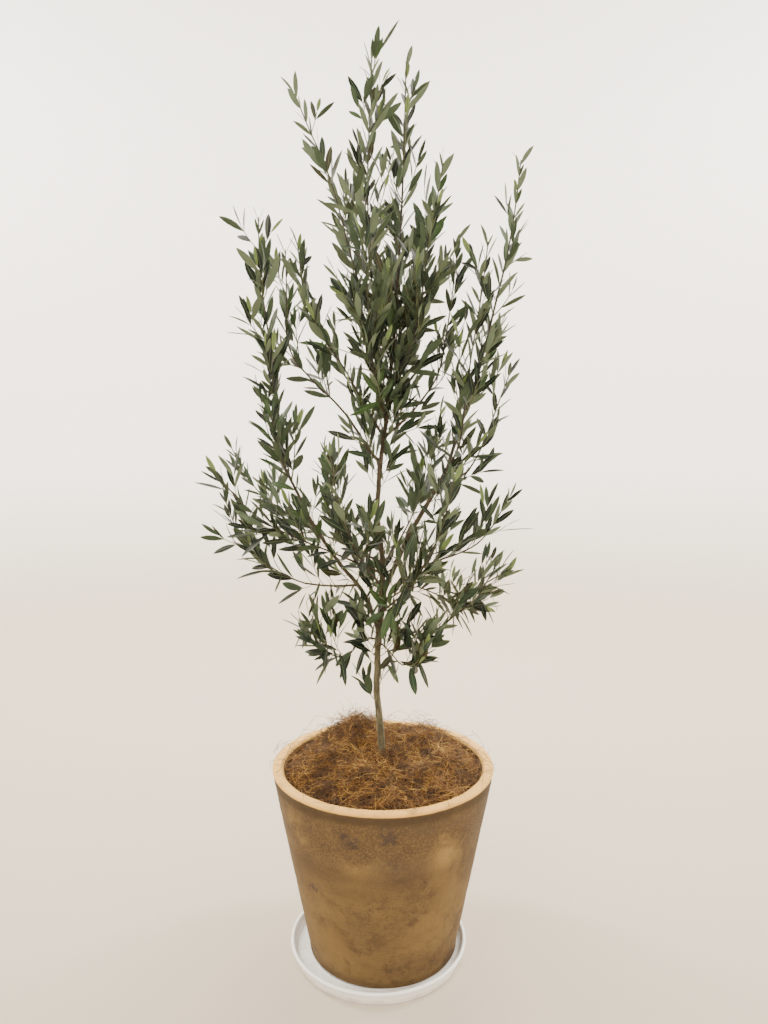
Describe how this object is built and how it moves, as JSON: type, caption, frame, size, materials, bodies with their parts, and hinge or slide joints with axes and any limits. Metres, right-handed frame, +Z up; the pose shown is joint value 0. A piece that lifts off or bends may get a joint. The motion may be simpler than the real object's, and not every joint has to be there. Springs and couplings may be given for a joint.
{
  "type": "potted olive tree",
  "caption": "Young olive tree with a slim trunk, open upright boughs and narrow grey-green leaves, in a tapered clay pot on a saucer.",
  "frame": {"origin": "on the floor under the middle of the pot, in the plane of the flat underside of the saucer", "axes": "+X to the right as seen from the front, +Y to the back, +Z up along the trunk"},
  "size_m": [0.6321, 0.4572, 1.7018],
  "materials": {
    "saucer": "satin",
    "pot": "matte",
    "soil": "matte",
    "coir": "fibrous",
    "bark": "matte",
    "leaves": "satin"
  },
  "bodies": {
    "root": {"saucer": "saucer", "pot": "pot", "soil": "soil", "coir": "coir", "trunk": "bark", "bough_back_left": "bark", "bough_back_right": "bark", "bough_crown_back": "bark", "bough_crown_back_left": "bark", "bough_crown_front": "bark", "bough_crown_front_right": "bark", "bough_front_left": "bark", "bough_front_right": "bark", "bough_left_back": "bark", "bough_left_front": "bark", "bough_left_low": "bark", "bough_left_tall": "bark", "bough_low_left": "bark", "bough_low_right": "bark", "bough_right_droop": "bark", "bough_right_low": "bark", "bough_right_mid": "bark", "bough_right_outer": "bark", "bough_right_tall": "bark", "bough_right_upper": "bark", "bough_second_leader": "bark", "bough_top_left": "bark", "bough_top_right": "bark", "bough_upper_left": "bark", "bough_upper_left_inner": "bark", "bough_upper_right": "bark", "foliage_back_left": "leaves", "foliage_back_right": "leaves", "foliage_crown_back": "leaves", "foliage_crown_back_left": "leaves", "foliage_crown_front": "leaves", "foliage_crown_front_right": "leaves", "foliage_front_left": "leaves", "foliage_front_right": "leaves", "foliage_leader": "leaves", "foliage_left_back": "leaves", "foliage_left_front": "leaves", "foliage_left_low": "leaves", "foliage_left_tall": "leaves", "foliage_low_left": "leaves", "foliage_low_right": "leaves", "foliage_right_droop": "leaves", "foliage_right_low": "leaves", "foliage_right_mid": "leaves", "foliage_right_outer": "leaves", "foliage_right_tall": "leaves", "foliage_right_upper": "leaves", "foliage_second_leader": "leaves", "foliage_top_left": "leaves", "foliage_top_right": "leaves", "foliage_upper_left": "leaves", "foliage_upper_left_inner": "leaves", "foliage_upper_right": "leaves"}
  },
  "joints": []
}
